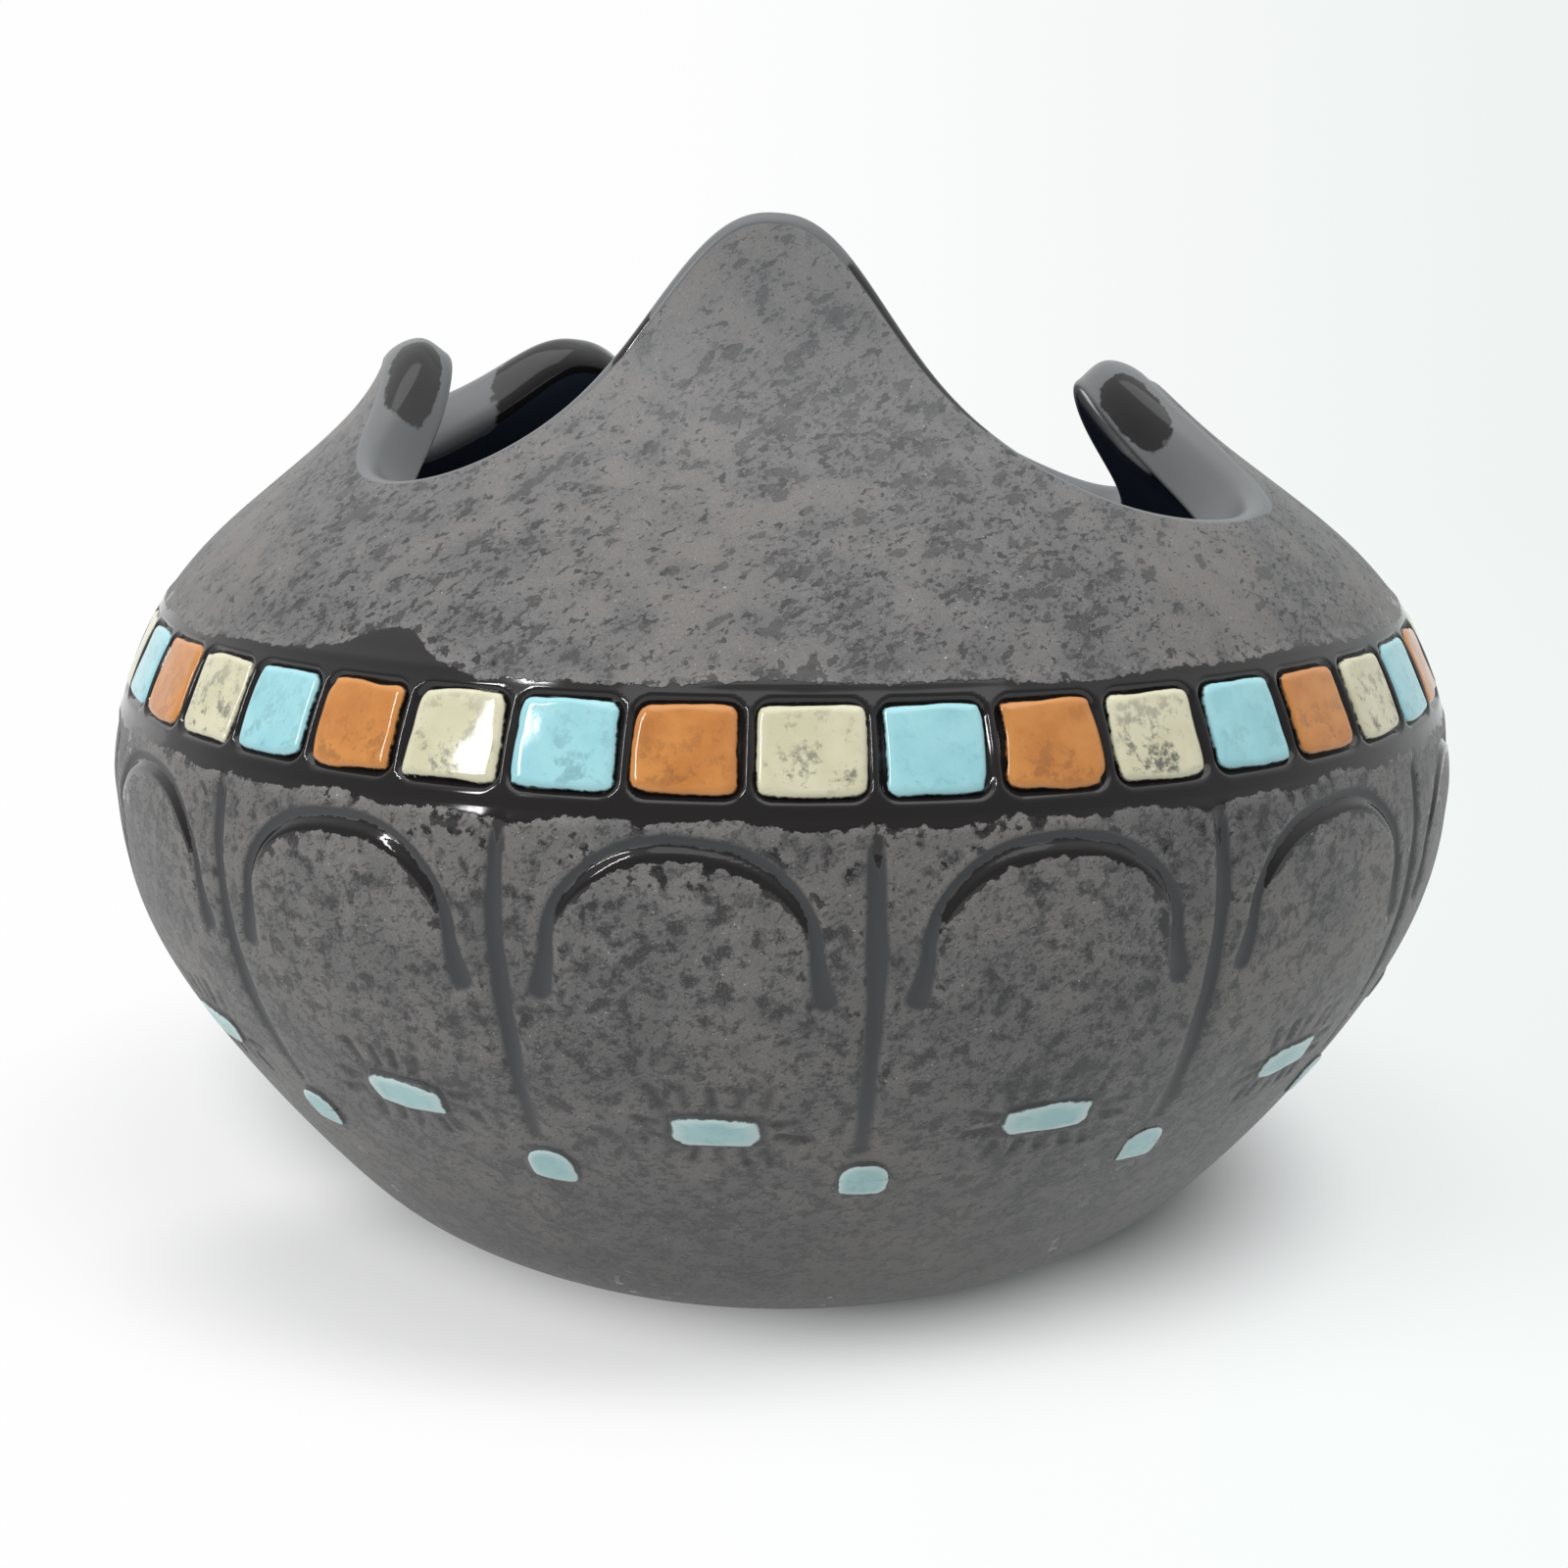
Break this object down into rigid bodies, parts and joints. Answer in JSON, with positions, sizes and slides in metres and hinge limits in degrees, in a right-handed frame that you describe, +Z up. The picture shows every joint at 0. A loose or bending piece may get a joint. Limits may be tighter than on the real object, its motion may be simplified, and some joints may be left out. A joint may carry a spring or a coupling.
{
  "type": "decorative pot",
  "caption": "Round-bellied blackware pot with a free wavy cut rim, a band of coloured glazed tiles round the shoulder and small turquoise glaze pads on the belly.",
  "frame": {"origin": "centre of the flat foot, on the pot's axis, on the surface that it stands on", "axes": "+Z up along the pot's axis, -Y towards the tall front lobe of the rim, +X to the viewer's right"},
  "size_m": [0.18, 0.18, 0.1409],
  "materials": {
    "blackware_glaze": "satin, mottled brown and grey, glossy where the glaze pools",
    "turquoise_glaze": "gloss",
    "orange_glaze": "gloss",
    "cream_glaze": "gloss with dark smudges",
    "pale_turquoise_glaze": "satin"
  },
  "bodies": {
    "root": {"pot_body": "blackware_glaze", "band_tile_01_turquoise": "turquoise_glaze", "band_tile_02_orange": "orange_glaze", "band_tile_03_cream": "cream_glaze", "band_tile_04_turquoise": "turquoise_glaze", "band_tile_05_orange": "orange_glaze", "band_tile_06_cream": "cream_glaze", "band_tile_07_turquoise": "turquoise_glaze", "band_tile_08_orange": "orange_glaze", "band_tile_09_cream": "cream_glaze", "band_tile_10_turquoise": "turquoise_glaze", "band_tile_11_orange": "orange_glaze", "band_tile_12_cream": "cream_glaze", "band_tile_13_turquoise": "turquoise_glaze", "band_tile_14_orange": "orange_glaze", "band_tile_15_cream": "cream_glaze", "band_tile_16_turquoise": "turquoise_glaze", "band_tile_17_orange": "orange_glaze", "band_tile_18_cream": "cream_glaze", "band_tile_19_turquoise": "turquoise_glaze", "band_tile_20_orange": "orange_glaze", "band_tile_21_cream": "cream_glaze", "band_tile_22_turquoise": "turquoise_glaze", "band_tile_23_orange": "orange_glaze", "band_tile_24_cream": "cream_glaze", "band_tile_25_turquoise": "turquoise_glaze", "band_tile_26_orange": "orange_glaze", "band_tile_27_cream": "cream_glaze", "band_tile_28_turquoise": "turquoise_glaze", "band_tile_29_orange": "orange_glaze", "band_tile_30_cream": "cream_glaze", "band_tile_31_turquoise": "turquoise_glaze", "band_tile_32_orange": "orange_glaze", "band_tile_33_cream": "cream_glaze", "band_tile_34_turquoise": "turquoise_glaze", "band_tile_35_orange": "orange_glaze", "band_tile_36_cream": "cream_glaze", "band_tile_37_turquoise": "turquoise_glaze", "band_tile_38_orange": "orange_glaze", "band_tile_39_cream": "cream_glaze", "band_tile_40_turquoise": "turquoise_glaze", "band_tile_41_orange": "orange_glaze", "band_tile_42_cream": "cream_glaze", "belly_bar_01": "pale_turquoise_glaze", "belly_bar_02": "pale_turquoise_glaze", "belly_bar_03": "pale_turquoise_glaze", "belly_bar_04": "pale_turquoise_glaze", "belly_bar_05": "pale_turquoise_glaze", "belly_bar_06": "pale_turquoise_glaze", "belly_bar_07": "pale_turquoise_glaze", "belly_bar_08": "pale_turquoise_glaze", "belly_bar_09": "pale_turquoise_glaze", "belly_bar_10": "pale_turquoise_glaze", "belly_bar_11": "pale_turquoise_glaze", "belly_bar_12": "pale_turquoise_glaze", "belly_bar_13": "pale_turquoise_glaze", "belly_bar_14": "pale_turquoise_glaze"}
  },
  "joints": []
}
